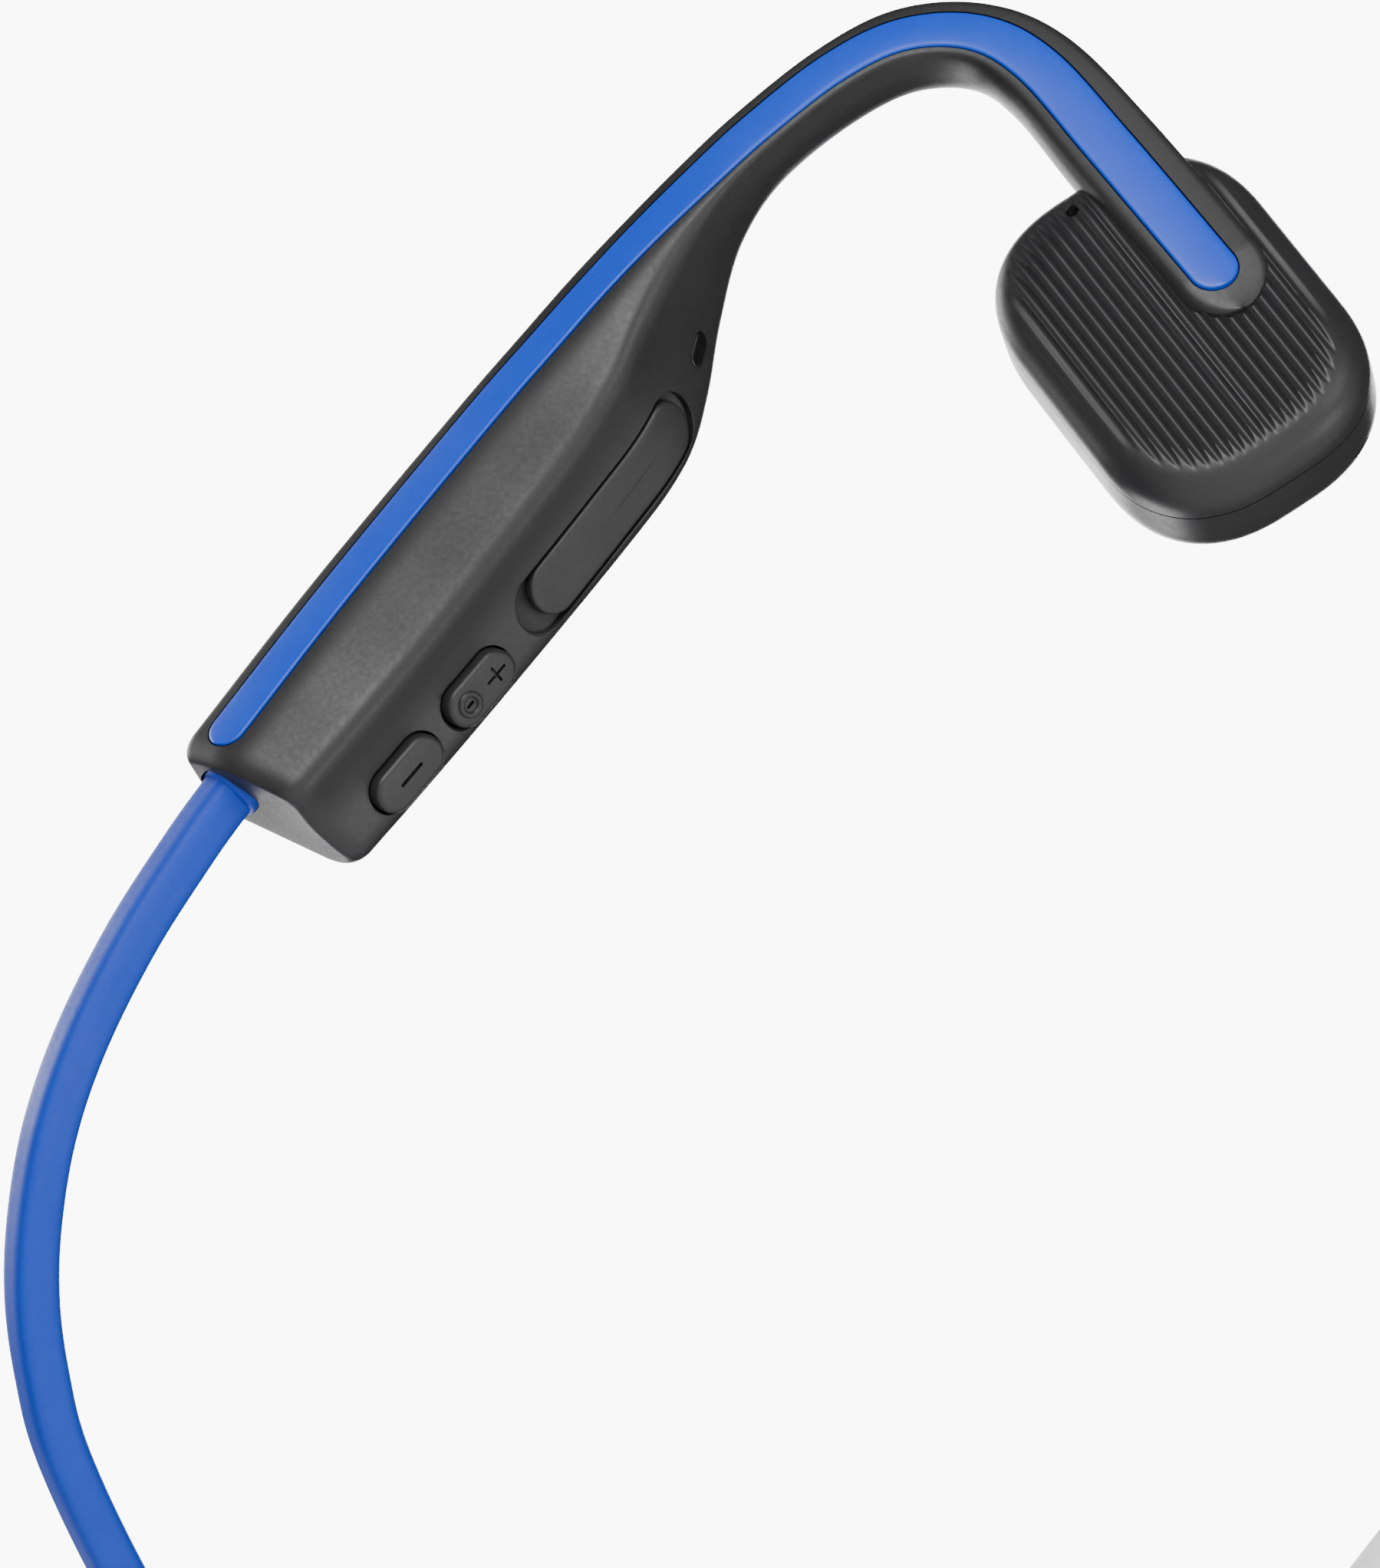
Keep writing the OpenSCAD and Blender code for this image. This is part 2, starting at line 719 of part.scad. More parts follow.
multi_top = 4.25;
module multifunction_button() {
  color(key_col) transducer("left") translate([1.9, multi_at[1], multi_at[2]])
    rotate([0, 90, 0]) rotate([0, 0, 90]) stadium(multi_l, multi_w, multi_top - 1.9);
}

module multifunction_switch() {
  color(steel_col) transducer("left") translate([0.2, multi_at[1] - 1.4, multi_at[2] - 1.4])
    cube([1, 2.8, 2.8]);
}

module battery() {
  color(pouch_col) pod("left") translate([-2.8, 12, -5.2]) cube([5, 26, 7.4]);
}

module battery_foam() {
  color(foam_col) pod("left") translate([2.2, 13, -4.4]) cube([0.8, 24, 5.4]);
}

module battery_board() {
  color(board_col) pod("left") translate([-2.8, 39.4, -4.6]) cube([4.4, 0.8, 5]);
}

body_shell("right");  // right_body_shell
body_shell("left");  // left_body_shell
inner_cover("right");  // right_inner_cover
inner_cover("left");  // left_inner_cover
accent_strip("right");  // right_accent_strip
accent_strip("left");  // left_accent_strip
hook_wire("right");  // right_hook_wire
hook_wire("left");  // left_hook_wire
hook_cable("right");  // right_hook_cable
hook_cable("left");  // left_hook_cable
transducer_cover("right");  // right_transducer_cover
transducer_cover("left");  // left_transducer_cover
transducer_seal("right");  // right_transducer_seal
transducer_seal("left");  // left_transducer_seal
back_shell("right");  // right_back_shell
back_shell("left");  // left_back_shell
contact_pad("right");  // right_contact_pad
contact_pad("left");  // left_contact_pad
magnet("right");  // right_magnet
magnet("left");  // left_magnet
yoke("right");  // right_yoke
yoke("left");  // left_yoke
voice_coil("right");  // right_voice_coil
voice_coil("left");  // left_voice_coil
spring_plate("right");  // right_spring_plate
spring_plate("left");  // left_spring_plate
end_collar("right");  // right_end_collar
end_collar("left");  // left_end_collar
band_sleeve("right");  // right_band_sleeve
band_sleeve("left");  // left_band_sleeve
band_spring("right");  // right_band_spring
band_spring("left");  // left_band_spring
band_cable("right");  // right_band_cable
band_cable("left");  // left_band_cable
cover_screws("right");  // right_cover_screws
cover_screws("left");  // left_cover_screws
plus_power_button();
minus_button();
volume_switches();
port_cover();
charging_socket();
circuit_board();
board_chips();
antenna();
status_light();
microphone();
multifunction_button();
multifunction_switch();
battery();
battery_foam();
battery_board();
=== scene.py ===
import json
import math
import bpy
import numpy as np
from mathutils import Matrix, Vector


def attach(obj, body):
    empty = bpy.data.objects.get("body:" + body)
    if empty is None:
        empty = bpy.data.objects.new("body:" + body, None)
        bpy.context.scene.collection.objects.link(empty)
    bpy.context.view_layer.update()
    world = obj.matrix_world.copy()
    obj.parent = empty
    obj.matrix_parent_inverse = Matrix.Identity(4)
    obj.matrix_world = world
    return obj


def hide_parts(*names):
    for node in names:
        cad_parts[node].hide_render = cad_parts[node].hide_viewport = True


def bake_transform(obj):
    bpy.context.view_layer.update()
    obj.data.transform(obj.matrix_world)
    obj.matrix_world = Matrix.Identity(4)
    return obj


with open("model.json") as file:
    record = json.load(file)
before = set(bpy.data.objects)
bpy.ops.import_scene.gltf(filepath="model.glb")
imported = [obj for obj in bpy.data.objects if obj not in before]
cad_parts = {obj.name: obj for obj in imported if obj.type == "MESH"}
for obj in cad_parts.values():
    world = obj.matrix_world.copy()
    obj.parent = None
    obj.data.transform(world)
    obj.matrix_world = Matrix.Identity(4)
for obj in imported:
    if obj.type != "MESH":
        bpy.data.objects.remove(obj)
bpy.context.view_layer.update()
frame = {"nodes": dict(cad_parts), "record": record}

# Bone conduction headphones. Lengths in this script are millimetres until a piece is put in place.
# A pod is drawn in its own frame: x away from the head, y forward, z up, as in the CAD.

# ---------- driving dimensions, the same as the CAD's ----------

HALF_WIDTH = 73.0
BAND_DEPTH = 52.2
POD_ROLL = math.radians(30)
STAND_TILT = math.radians(19.9)
STAND_LIFT = 19.775
STAND_SHIFT = -19.978
MM = 0.001

BAND_SIZE = 3.8
BAND_CORNER = 1.1
BAND_TWIST = math.radians(2)
WIRE_D = 1.0
CABLE_D = 0.9
PARTING = -3.9
PARTING_GAP = 0.04

TRANSDUCER_AT = np.array([0, 73, -37.3])
ARM_LEAN = math.radians(-18.9)
CASE_W = 22.6
CASE_L = 31.0
CASE_CORNER = 10.25
CASE_POWER = 2.41
SEAM_X = -0.2
SEAM_GAP = 0.14
FACE_TOP = 3.8
BACK_LOW = -7.7

# Columns of the pod's stations: place along the pod, then depths and heights of the corners
# of its section, and half the strip's width
(AT_Y, AT_Z, TOP, RIM, FACE, SHOULDER, SHOULDER_DROP, CREASE, CREASE_DROP, EDGE, EDGE_DROP,
 INNER, INNER_DROP, STRIP_HALF) = range(14)
STATIONS = [
    [3.0, 1.35, 3.0, 2.9, 5.2, 4.8, -8.6, 0.8, -9.5, -3.4, -12.4, -5.7, -11.0, 1.7],
    [18, 2.2, 3.0, 2.9, 5.2, 4.8, -9.3, 0.8, -10.2, -3.5, -13.2, -5.8, -11.8, 1.7],
    [36, 2.7, 2.9, 2.9, 5.2, 4.8, -8.7, 0.9, -9.9, -3.75, -13.2, -5.9, -11.9, 1.7],
    [44, 2.65, 2.9, 3.0, 5.2, 4.8, -7.4, 0.9, -9.2, -3.75, -12.5, -5.7, -11.2, 1.65],
    [50, 2.55, 2.9, 3.1, 5.2, 4.8, -5.5, 1.2, -7.3, -3.5, -10.2, -5.1, -8.9, 1.6],
    [56, 2.2, 2.8, 3.4, 5.1, 4.7, -3.8, 1.6, -5.1, -2.8, -6.6, -3.9, -5.5, 1.6],
    [62, 1.6, 2.8, 3.7, 4.9, 4.5, -2.6, 1.9, -3.3, -1.7, -3.5, -2.7, -2.3, 1.6],
    [68, 0.8, 2.8, 3.9, 4.8, 4.4, -2.3, 1.8, -2.8, -1.2, -2.1, -2.1, -1.1, 1.6],
    [75.6, -0.9, 2.8, 4.0, 4.7, 4.3, -2.3, 1.6, -2.8, -1.2, -2.0, -1.9, -1.0, 1.6],
    [81, -3.7, 3.0, 4.1, 4.7, 4.3, -2.4, 1.5, -2.8, -1.2, -2.0, -1.8, -1.1, 1.6],
    [84.3, -8.5, 3.2, 4.1, 4.7, 4.2, -2.6, 1.5, -2.9, -1.0, -2.3, -1.6, -1.6, 1.7],
    [84.6, -14.4, 3.7, 4.1, 4.7, 4.2, -3.1, 1.5, -3.4, -0.8, -2.9, -1.3, -2.3, 1.85],
    [82, -23.5, 4.1, 4.1, 4.7, 4.2, -3.4, 1.5, -3.7, -0.6, -3.3, -1.0, -2.8, 1.95],
    [77.6, -37.5, 4.2, 4.1, 4.7, 4.2, -3.4, 1.5, -3.7, -0.6, -3.4, -0.8, -2.9, 1.95],
]
FACE_EDGE = -1.9
TOP_CHAMFER = 0.5
SKIN_CUTS = [2.4, 0.8, 2, 1.4, 1.4, 1.3, 1.8]
STATION_SPACING = 0.4
COVER_FIRST = 5
COVER_LAST = 63

REAR_DEEP = 2.1
REAR_SHRINK = 0.18
REAR_LEAN = 0.09
REAR_CENTRE = (-0.5, -4)
REAR_RINGS = 10
LEAN_STATIONS = 12
TIP_R = 4.2
TIP_CENTRE = (0.5, 0)
TIP_NARROWING = 0.12
TIP_RINGS = 26

STRIP_FIRST = -0.5
STRIP_THICK = 0.9
STRIP_PROUD = 0.1
STRIP_GAP = 0.1
STRIP_ROUND = 0.22
STRIP_CROWN = 0.08
STRIP_END_RINGS = 20
GROOVE_TOP = 1.5

LEDGE_TURN = math.radians(147.5)
LEDGE_X = np.array([math.cos(LEDGE_TURN), 0, -math.sin(LEDGE_TURN)])
LEDGE_Z = np.array([math.sin(LEDGE_TURN), 0, math.cos(LEDGE_TURN)])
LEDGE_LAST = 66
PORT_SHARE = 0.49
BUTTON_SHARE = 0.54
BUTTON_L = 7.0
BUTTON_W = 3.5
BUTTON_H = 1.0
BUTTON_DEEP = 1.2
BUTTON_WELL = 2.2
MARK_DEPTH = 0.4
MINUS_Y = 10.5
PLUS_Y = 19.3
GAP = 0.2
PORT_W = 4.4
PORT_FIRST = 27.2
PORT_HINGE = 47.1
PORT_THICK = 0.8
PORT_BARREL = 0.4
PORT_PROUD = 0.1
PORT_END_ROOM = 0.35
NAIL_ROOM = 1.9
SOCKET_Y = 33.5
SOCKET_OFF = (-1.0, 0.0)
SOCKET_HOLE_L = 9.04
SOCKET_HOLE_W = 3.36
SOCKET_HOLE_DEEP = 7.6
LIGHT_Y = 51.8
LIGHT_L = 2.6
LIGHT_W = 1.3
LIGHT_GAP = 0.03

BAND_POINTS = [
    [1, 0.055], [0.999, 0], [0.992, -0.09], [0.974, -0.238], [0.941, -0.393], [0.897, -0.521],
    [0.838, -0.632], [0.775, -0.718], [0.703, -0.787], [0.626, -0.843], [0.496, -0.902],
    [0.35, -0.95], [0.18, -0.987], [0.05, -0.9985], [0, -1],
]
COLLAR_L = 2.2
COLLAR_W = 4.8
COLLAR_END = 0.85
COLLAR_CORNER = 1.4
COLLAR_GAP = 0.06
BEND_HALF = 32

MULTI_L = 9.0
MULTI_W = 5.6
MULTI_AT = (-2.5, -6.5)
MULTI_TOP = 4.25
MULTI_LOW = 1.9
MIC_AT = (-1.2, 13)
MIC_D = 1.0
PAD_W = 13
PAD_L = 20
PAD_CORNER = 5
PAD_LOW = 8.4

# ---------- frames ----------


def turned(points, angle):
    """Points turned about x."""
    x, y, z = points.T
    c, s = math.cos(angle), math.sin(angle)
    return np.stack([x, y * c - z * s, y * s + z * c], 1)


def from_stand(points, side):
    """From the band's plane on the right to metres where the headset stands."""
    out = turned(points * [side, 1, 1], STAND_TILT)
    return (out + [0, STAND_SHIFT, STAND_LIFT]) * MM


def from_pod(points, side):
    """From a pod's frame to metres."""
    x, y, z = points.T
    c, s = math.cos(POD_ROLL), math.sin(POD_ROLL)
    return from_stand(np.stack([x * c + z * s + HALF_WIDTH, y, z * c - x * s], 1), side)


def from_case(points, side):
    """From a transducer's frame to metres."""
    return from_pod(turned(points, ARM_LEAN) + TRANSDUCER_AT, side)


# ---------- solids ----------


def outward(mesh):
    """Turns every face outwards."""
    mesh.calc_loop_triangles()
    co = coordinates(mesh)
    tri = np.zeros(len(mesh.loop_triangles) * 3, np.int64)
    mesh.loop_triangles.foreach_get("vertices", tri)
    a, b, c = (co[tri.reshape(-1, 3)[:, k]] for k in range(3))
    if np.einsum("ij,ij->i", a, np.cross(b, c)).sum() < 0:
        mesh.flip_normals()


def coordinates(mesh):
    """A mesh's points, one a row."""
    co = np.zeros(len(mesh.vertices) * 3)
    mesh.vertices.foreach_get("co", co)
    return co.reshape(-1, 3)


def solid(name, points, faces):
    """Object from points and faces, with its faces turned outwards."""
    mesh = bpy.data.meshes.new(name)
    mesh.from_pydata(np.asarray(points).tolist(), [], faces)
    mesh.update()
    outward(mesh)
    obj = bpy.data.objects.new(name, mesh)
    bpy.context.scene.collection.objects.link(obj)
    return obj


def loft(name, rings, closed=False):
    """Solid through rings of points. A closed one runs round to its first ring."""
    rings = np.array(rings)
    n, m = rings.shape[:2]
    faces = []
    for i in range(n if closed else n - 1):
        a, b = i * m, (i + 1) % n * m
        faces += [(a + j, a + (j + 1) % m, b + (j + 1) % m, b + j) for j in range(m)]
    if not closed:
        faces += [tuple(range(m - 1, -1, -1)), tuple(range((n - 1) * m, n * m))]
    return solid(name, rings.reshape(-1, 3), faces)


def boolean(obj, tools, operation="DIFFERENCE"):
    """Cuts the tools from a solid, or keeps or adds what they cover."""
    for tool in tools:
        step = obj.modifiers.new("step", "BOOLEAN")
        step.object = tool
        step.operation = operation
        step.solver = "MANIFOLD"
    depsgraph = bpy.context.evaluated_depsgraph_get()
    mesh = bpy.data.meshes.new_from_object(obj.evaluated_get(depsgraph))
    obj.modifiers.clear()
    obj.data = mesh
    for tool in tools:
        bpy.data.objects.remove(tool)
    return obj


def block(name, low, high):
    """Plain box that serves as a cutting tool."""
    corners = [[x, y, z] for x in (low[0], high[0]) for y in (low[1], high[1])
               for z in (low[2], high[2])]
    faces = [(0, 1, 3, 2), (4, 6, 7, 5), (0, 4, 5, 1), (2, 3, 7, 6), (0, 2, 6, 4), (1, 5, 7, 3)]
    return solid(name, corners, faces)


def finish(obj, points, material, sharp):
    """Moves a solid's points to their places in metres, shades it and gives it its finish."""
    mesh = obj.data
    mesh.vertices.foreach_set("co", points.ravel())
    mesh.update()
    outward(mesh)
    mesh.shade_smooth()
    mesh.set_sharp_from_angle(angle=math.radians(sharp))
    mesh.materials.clear()
    mesh.materials.append(material)


def put(obj, place, side, body, material, stands_for=(), sharp=32):
    """Puts a finished solid in place and ties it to its body."""
    finish(obj, place(coordinates(obj.data), side), material, sharp)
    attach(obj, body)
    if stands_for:
        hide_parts(*stands_for)


# ---------- outlines ----------


def smooth_rows(rows, spacing):
    """Rows on a smooth curve through the given ones, about one spacing apart."""
    rows = np.array(rows, float)
    out = []
    for i in range(len(rows) - 1):
        b, c = rows[i], rows[i + 1]
        a = rows[i - 1] if i else 2 * b - c
        d = rows[i + 2] if i + 2 < len(rows) else 2 * c - b
        n = max(2, math.ceil(np.linalg.norm((c - b)[:2]) / spacing))
        for u in np.arange(n) / n:
            out.append(0.5 * (2 * b + (c - a) * u + (2 * a - 5 * b + 4 * c - d) * u**2
                              + (3 * b - a - 3 * c + d) * u**3))
    out.append(rows[-1])
    return np.array(out)


def rounded(corners, cuts, bend=8, straight=3):
    """Closed outline with every corner rounded, and some points along its straights."""
    corners = np.array(corners, float)
    count = len(corners)
    out = []

    def back_from(k, other):
        step = corners[other] - corners[k]
        return corners[k] + step * min(cuts[k] / np.linalg.norm(step), 0.48)

    for i in range(count):
        after = (i + 1) % count
        p, q = back_from(i, i - 1), back_from(i, after)
        u = np.linspace(0, 1, bend + 1)[:, None]
        out.append(p * (1 - u) ** 2 + 2 * corners[i] * u * (1 - u) + q * u * u)
        v = np.linspace(0, 1, straight + 2)[1:-1, None]
        out.append(q * (1 - v) + back_from(after, i) * v)
    return np.vstack(out)


def rounded_square(half_x, half_y, radius, bend=8):
    """Rounded rectangle by two half sizes."""
    corners = [[half_x, half_y], [-half_x, half_y], [-half_x, -half_y], [half_x, -half_y]]
    cut = radius * 1.25
    return rounded(corners, [cut] * 4, bend)


def stadium(length, width, inset=0.0, straight=2, arc=20):
    """Outline with two round ends, along the second axis."""
    r, h = width / 2 - inset, (length - width) / 2
    turn = np.linspace(0, math.pi, arc)
    side = np.linspace(h, -h, straight + 2)[1:-1]
    end = np.stack([r * np.cos(turn), h + r * np.sin(turn)], 1)
    left = np.stack([np.full(straight, -r), side], 1)
    return np.vstack([end, left, -end, -left])


def edge_round(radius, height, steps=6):
    """(inset, height) pairs of a rounded edge that ends at a height."""
    turn = np.linspace(0, math.pi / 2, steps)
    return [(radius * (1 - math.cos(t)), height - radius * (1 - math.sin(t))) for t in turn]


def stamp(name, profile, outline, place):
    """Solid whose outline shrinks and rises as the profile's (inset, height) pairs say."""
    return loft(name, [place(outline(inset), height) for inset, height in profile])


# ---------- the pod's skin ----------

STATION_ROWS = smooth_rows(STATIONS, STATION_SPACING)
LINE = STATION_ROWS[:, :2]
HEADINGS = np.gradient(LINE, axis=0)
HEADINGS /= np.linalg.norm(HEADINGS, axis=1)[:, None]
LAST = len(STATION_ROWS) - 1


def placed(section, i, scale=(1, 1), centre=(0, 0), shift=0.0, lean=0.0):
    """A section of the pod at a station, scaled about a centre and shifted along the path."""
    h = HEADINGS[i]
    a = np.array([-h[1], h[0]])
    p = np.asarray(centre) + (np.asarray(section) - centre) * scale
    f = shift - lean * p[:, 1]
    return np.stack([p[:, 0], LINE[i, 0] + p[:, 1] * a[0] + f * h[0],
                     LINE[i, 1] + p[:, 1] * a[1] + f * h[1]], 1)


def skin_section(s):
    """Across the pod, from the top of its inner side round the face and the ledge."""
    return rounded([[s[INNER], s[TOP] - TOP_CHAMFER], [s[RIM], s[TOP]], [s[FACE], FACE_EDGE],
                    [s[SHOULDER], s[SHOULDER_DROP]], [s[CREASE], s[CREASE_DROP]],
                    [s[EDGE], s[EDGE_DROP]], [s[INNER], s[INNER_DROP]]], SKIN_CUTS)


def skin():
    """The whole pod from its domed rear end to the rounded tip of its arm."""
    first, last = skin_section(STATION_ROWS[0]), skin_section(STATION_ROWS[LAST])
    rings = []
    for turn in np.linspace(math.pi / 2, 0.12, REAR_RINGS):
        k = 1 - REAR_SHRINK * (1 - math.cos(turn))
        shift = -REAR_DEEP * math.sin(turn)
        rings.append(placed(first, 0, (k, k), REAR_CENTRE, shift, REAR_LEAN))
    for i, row in enumerate(STATION_ROWS):
        lean = REAR_LEAN * max(0.0, 1 - i / LEAN_STATIONS)
        rings.append(placed(skin_section(row), i, lean=lean))
    for turn in np.linspace(0.06, 1.53, TIP_RINGS):
        d = math.sin(turn)
        scale = (1 - TIP_NARROWING * d, math.cos(turn))
        rings.append(placed(last, LAST, scale, TIP_CENTRE, d * TIP_R))
    return loft("skin", rings)


def facet(s, t):
    """Depth of the facet that holds the strip, at a distance from its centre line."""
    return s[FACE] + (s[RIM] - s[FACE]) * (t - FACE_EDGE) / (s[TOP] - FACE_EDGE)


def strip_section(s, half, top, low, edge):
    """Across the strip: a slightly domed top with rounded edges."""
    profile = edge_round(edge, top) if edge else [(0, top)]
    across = [half - inset for inset, _ in profile]
    rise = [h for _, h in profile]
    inner = np.linspace(half - edge, edge - half, 9)[1:-1]
    t = np.array(across + list(inner) + [-a for a in across[::-1]] + [-half, half])
    up = np.array(rise + [top] * len(inner) + rise[::-1] + [low, low])
    crown = np.clip(1 - (t / half) ** 2, 0, 1) * (STRIP_CROWN if edge else 0)
    return np.stack([facet(s, t) + up + crown, t], 1)


def strip(name, more, top, edge):
    """The accent strip, or the tool that cuts its groove, which is a little wider."""
    rings = []
    first, last = STATION_ROWS[0], STATION_ROWS[LAST]
    low = -STRIP_THICK - more / 2

    def end(s, i, direction, start):
        for turn in np.linspace(1.52, 0.04, STRIP_END_RINGS):
            radius = s[STRIP_HALF] + more
            half = radius * math.cos(turn)
            section = strip_section(s, half, top, low, min(edge, half * 0.45))
            yield placed(section, i, shift=start + direction * radius * math.sin(turn))

    rings += list(end(first, 0, -1, STRIP_FIRST + first[STRIP_HALF]))
    for i, row in enumerate(STATION_ROWS):
        if row[AT_Y] > first[AT_Y] + STRIP_FIRST + 2.0 or i > LAST / 2:
            half = row[STRIP_HALF] + more
            rings.append(placed(strip_section(row, half, top, low, edge), i))
    rings += list(end(last, LAST, 1, 0))[::-1]
    return loft(name, rings)


# ---------- the ledge ----------


def ledge_point(y, share):
    """Points of the ledge's middle line, at a share of the way from crease to edge."""
    y = np.atleast_1d(np.asarray(y, float))
    housing = STATION_ROWS[: int(np.argmax(LINE[:, 0] > LEDGE_LAST))]

    def at(column):
        return np.interp(y, housing[:, AT_Y], housing[:, column])
    return np.stack([at(CREASE) + (at(EDGE) - at(CREASE)) * share, y,
                     at(AT_Z) + at(CREASE_DROP) + (at(EDGE_DROP) - at(CREASE_DROP)) * share], 1)


def on_ledge(y, share):
    """Places plan points, across and along, at a height over the ledge."""
    origin = ledge_point(y, share)

    def place(plan, height):
        return origin + plan[:, :1] * LEDGE_X + plan[:, 1:] * [0, 1, 0] + height * LEDGE_Z
    return place


def along_ledge(y0, y1, share):
    """As on_ledge, and following the ledge's bend. The plan's middle lies between y0 and y1."""
    def place(plan, height):
        return (ledge_point(plan[:, 1] + (y0 + y1) / 2, share) + plan[:, :1] * LEDGE_X
                + height * LEDGE_Z)
    return place


def oval(length, width, straight=2):
    """An outline with round ends, for any inset."""
    return lambda inset: stadium(length, width, inset, straight)


def hole_profile(depth, lip):
    """A hole with a soft lip at the surface and a small fillet at its floor."""
    fillet = [(0.25, -depth), (0.08, -depth + 0.07), (0, -depth + 0.25)]
    flare = [(0, -lip)] + [(-lip * (1 - math.cos(t)), -lip + lip * math.sin(t))
                           for t in np.linspace(0.3, 1.2, 5)]
    return fillet + flare + [(-lip - 0.6, 0.6), (-lip - 0.6, 2.5)]


def button_hole(y):
    """Well that a button cap slides in."""
    outline = oval(BUTTON_L + 2 * GAP, BUTTON_W + 2 * GAP)
    return stamp("hole", hole_profile(BUTTON_WELL, 0.12), outline, on_ledge(y, BUTTON_SHARE))


def port_pocket():
    """Pocket for the port's lid, its barrel and a fingernail."""
    y0, y1 = PORT_FIRST - NAIL_ROOM, PORT_HINGE + PORT_BARREL + PORT_END_ROOM
    outline = oval(y1 - y0, PORT_W + 2 * GAP, 60)
    return stamp("pocket", hole_profile(PORT_THICK + 0.1, 0.16), outline,
                 along_ledge(y0, y1, PORT_SHARE))


def socket_hole():
    """Way in to the charging socket, from the pocket's floor."""
    centred = oval(SOCKET_HOLE_L, SOCKET_HOLE_W)

    def outline(inset):
        return centred(inset) + SOCKET_OFF
    profile = [(0, -SOCKET_HOLE_DEEP), (0, -0.5)]
    return stamp("hole", profile, outline, on_ledge(SOCKET_Y, PORT_SHARE))


def light_hole():
    """Window for the status light."""
    profile = [(0, -1.4), (0, -0.05), (-0.02, 0.02), (-0.02, 0.4)]
    outline = oval(LIGHT_L + 2 * LIGHT_GAP, LIGHT_W + 2 * LIGHT_GAP)
    return stamp("hole", profile, outline, along_ledge(LIGHT_Y, LIGHT_Y, PORT_SHARE))


def collar_hole():
    """The square way in for the band at the housing's rear."""
    half = COLLAR_W / 2 + COLLAR_GAP
    outline = rounded_square(half, half, COLLAR_CORNER)
    return loft("hole", [collar_ring(outline, y) for y in (-4, COLLAR_END + COLLAR_L)])


def collar_ring(outline, y):
    """An outline across the band's end, at a distance forward, in the pod's frame."""
    a = -POD_ROLL + BAND_TWIST
    x, z = outline.T
    return np.stack([x * math.cos(a) - z * math.sin(a), np.full(len(x), float(y)),
                     x * math.sin(a) + z * math.cos(a)], 1)


# ---------- housing ----------


def half_space(direction):
    """Block on the head's side of the parting plane, along the housing only.
    Its edge lies half the parting gap short of the plane, or past it."""
    edge = PARTING - PARTING_GAP / 2 * direction
    deep, high = 20, 30
    return block("half", (edge - deep, COVER_FIRST, -high), (edge, COVER_LAST, high))


def body_shell(side, word, mats):
    """The outer shell of a pod: housing, ear hook and arm."""
    obj = skin()
    obj.name = word + "_housing"
    tools = [half_space(-1), strip("groove", STRIP_GAP, GROOVE_TOP, 0), collar_hole()]
    if side > 0:
        tools += [button_hole(MINUS_Y), button_hole(PLUS_Y), port_pocket(), socket_hole(),
                  light_hole()]
    boolean(obj, tools)
    put(obj, from_pod, side, word + "_side", mats["housing"], [word + "_body_shell"])


def inner_cover(side, word, mats):
    """The housing's cover on the head's side."""
    obj = boolean(skin(), [half_space(1)], "INTERSECT")
    obj.name = word + "_inner_cover_skin"
    put(obj, from_pod, side, word + "_side", mats["housing"], [word + "_inner_cover"])


def accent(side, word, mats):
    """The blue strip along the outer shell."""
    obj = strip(word + "_accent", 0, STRIP_PROUD, STRIP_ROUND)
    put(obj, from_pod, side, word + "_side", mats["accent"], [word + "_accent_strip"])


def end_collar(side, word, mats):
    """The collar round the band's root."""
    rings = []
    profile = [(0, COLLAR_L)] + [(i, COLLAR_L - h) for i, h in edge_round(0.3, COLLAR_L)]
    for inset, along in profile:
        half = COLLAR_W / 2 - inset
        outline = rounded_square(half, half, COLLAR_CORNER - inset)
        rings.append(collar_ring(outline, COLLAR_END + along))
    obj = loft(word + "_collar", rings)
    put(obj, from_pod, side, word + "_side", mats["sleeve"], [word + "_end_collar"])


# ---------- controls ----------


def mark(y, along, width, length, crosswise=False):
    """A short bar engraved in a cap, along the housing or across it."""
    here = on_ledge(y, BUTTON_SHARE)

    def place(plan, height):
        laid = plan[:, ::-1] if crosswise else plan
        return here(laid + [0, along], height)
    profile = [(0, BUTTON_H - MARK_DEPTH), (0, BUTTON_H + 1)]
    return stamp("mark", profile, oval(length, width), place)


def ring_mark(y, along, radius, wire):
    """The raised ring of the power symbol."""
    here = on_ledge(y, BUTTON_SHARE)
    around = np.linspace(0, 2 * math.pi, 49)[:-1]
    section = np.linspace(0, 2 * math.pi, 17)[:-1]
    rings = []
    for a in around:
        reach = radius + wire * np.cos(section)
        rise = BUTTON_H + wire * np.sin(section)
        rings.append([here(np.array([[r * math.cos(a), r * math.sin(a) + along]]), h)[0]
                      for r, h in zip(reach, rise)])
    return loft("ring", rings, closed=True)


def button(y, name, node, body, marks, ring, mats):
    """A cap with its signs, on its own body."""
    profile = [(0, -BUTTON_DEEP), (0, -0.3)] + edge_round(0.42, BUTTON_H, 8)
    obj = stamp(name, profile, oval(BUTTON_L, BUTTON_W), on_ledge(y, BUTTON_SHARE))
    if ring is not None:
        boolean(obj, [ring], "UNION")
    boolean(obj, marks)
    obj.name = name
    put(obj, from_pod, 1, body, mats["keys"], [node], sharp=40)


